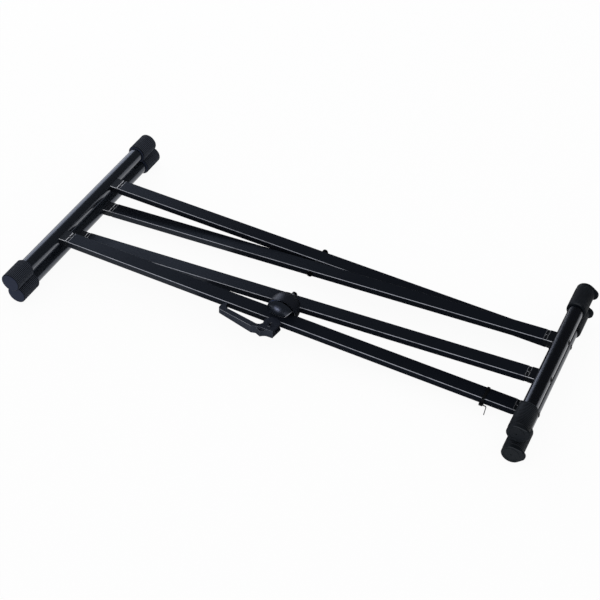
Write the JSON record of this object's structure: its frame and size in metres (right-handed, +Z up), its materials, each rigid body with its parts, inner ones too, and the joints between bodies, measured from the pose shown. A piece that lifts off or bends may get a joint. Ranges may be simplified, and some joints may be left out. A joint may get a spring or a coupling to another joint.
{
  "type": "folding keyboard stand",
  "caption": "Folding crossed-leg keyboard stand, folded flat: twin-leg frames, ribbed rubber feet, sleeved arms and a sprung pull-lever lock at the pivot.",
  "frame": {"origin": "middle of the folded stand's outline, on the surface that it lies on", "axes": "+X along the legs from the base tubes to the arm tubes, +Y along the pivot from the lock to the rear legs, +Z up"},
  "size_m": [1.0254, 0.5232, 0.0767],
  "materials": {
    "leg_paint": "semi-gloss black powder coat on steel",
    "tube_paint": "gloss black powder coat on steel",
    "cap_rubber": "matte black ribbed rubber",
    "sleeve_rubber": "matte black grooved rubber",
    "saddle_plastic": "satin black moulded plastic",
    "cover_plastic": "satin black moulded plastic",
    "housing_plastic": "matte black moulded plastic",
    "handle_plastic": "matte black moulded plastic",
    "lock_plastic": "black glass-filled nylon",
    "bearing_plastic": "black bearing nylon",
    "tie_plastic": "black nylon tie",
    "black_bolt_steel": "black oxide steel",
    "zinc_steel": "zinc plated steel"
  },
  "bodies": {
    "outer_frame": {"front_outer_leg": "leg_paint", "rear_outer_leg": "leg_paint", "outer_base_tube": "tube_paint", "outer_arm_tube": "tube_paint", "front_outer_base_saddle": "saddle_plastic", "rear_outer_base_saddle": "saddle_plastic", "front_outer_arm_saddle": "saddle_plastic", "rear_outer_arm_saddle": "saddle_plastic", "outer_leg_bolts": "black_bolt_steel", "outer_leg_nuts": "zinc_steel", "front_outer_foot_cap": "cap_rubber", "rear_outer_foot_cap": "cap_rubber", "front_outer_arm_sleeve": "sleeve_rubber", "rear_outer_arm_sleeve": "sleeve_rubber", "outer_leg_bushes": "bearing_plastic", "rear_pivot_bolt": "black_bolt_steel", "rear_pivot_washer": "bearing_plastic", "rear_pivot_cap_nut": "black_bolt_steel", "cable_tie": "tie_plastic", "lock_cover": "cover_plastic", "lock_hub": "lock_plastic", "lock_cover_screws": "zinc_steel", "lock_spring": "zinc_steel"},
    "inner_frame": {"front_inner_leg": "leg_paint", "rear_inner_leg": "leg_paint", "inner_base_tube": "tube_paint", "inner_arm_tube": "tube_paint", "front_inner_base_saddle": "saddle_plastic", "rear_inner_base_saddle": "saddle_plastic", "front_inner_arm_saddle": "saddle_plastic", "rear_inner_arm_saddle": "saddle_plastic", "inner_leg_bolts": "black_bolt_steel", "inner_leg_nuts": "zinc_steel", "front_inner_foot_cap": "cap_rubber", "rear_inner_foot_cap": "cap_rubber", "front_inner_arm_sleeve": "sleeve_rubber", "rear_inner_arm_sleeve": "sleeve_rubber", "inner_leg_bushes": "bearing_plastic", "lock_housing": "housing_plastic", "lock_housing_screws": "zinc_steel"},
    "lock_slider": {"lock_gear": "lock_plastic", "lock_rod": "zinc_steel", "lock_rod_cap": "black_bolt_steel", "handle_pin": "black_bolt_steel"},
    "handle": {"release_handle": "handle_plastic"}
  },
  "joints": [
    {"name": "fold", "type": "hinge", "parent": "outer_frame", "child": "inner_frame", "pos_m": [-0.00999, -0.0061, 0.03835], "axis": [0, -1, 0], "range_deg": [0, 100]},
    {"name": "lock_slide", "type": "slide", "parent": "outer_frame", "child": "lock_slider", "axis": [0, -1, 0], "range_m": [0, 0.0036], "deforming": ["lock_spring"]},
    {"name": "handle_swing", "type": "hinge", "parent": "lock_slider", "child": "handle", "pos_m": [-0.00999, -0.1324, 0.03835], "axis": [0.0398, 0, 0.9992], "range_deg": [0, 50], "stiffness_Nm_per_rad": 0.1, "springref_deg": -85.94}
  ],
  "couplings": [
    {"joint": "lock_slide", "follows": "handle_swing", "m_per_rad": 0.004}
  ]
}
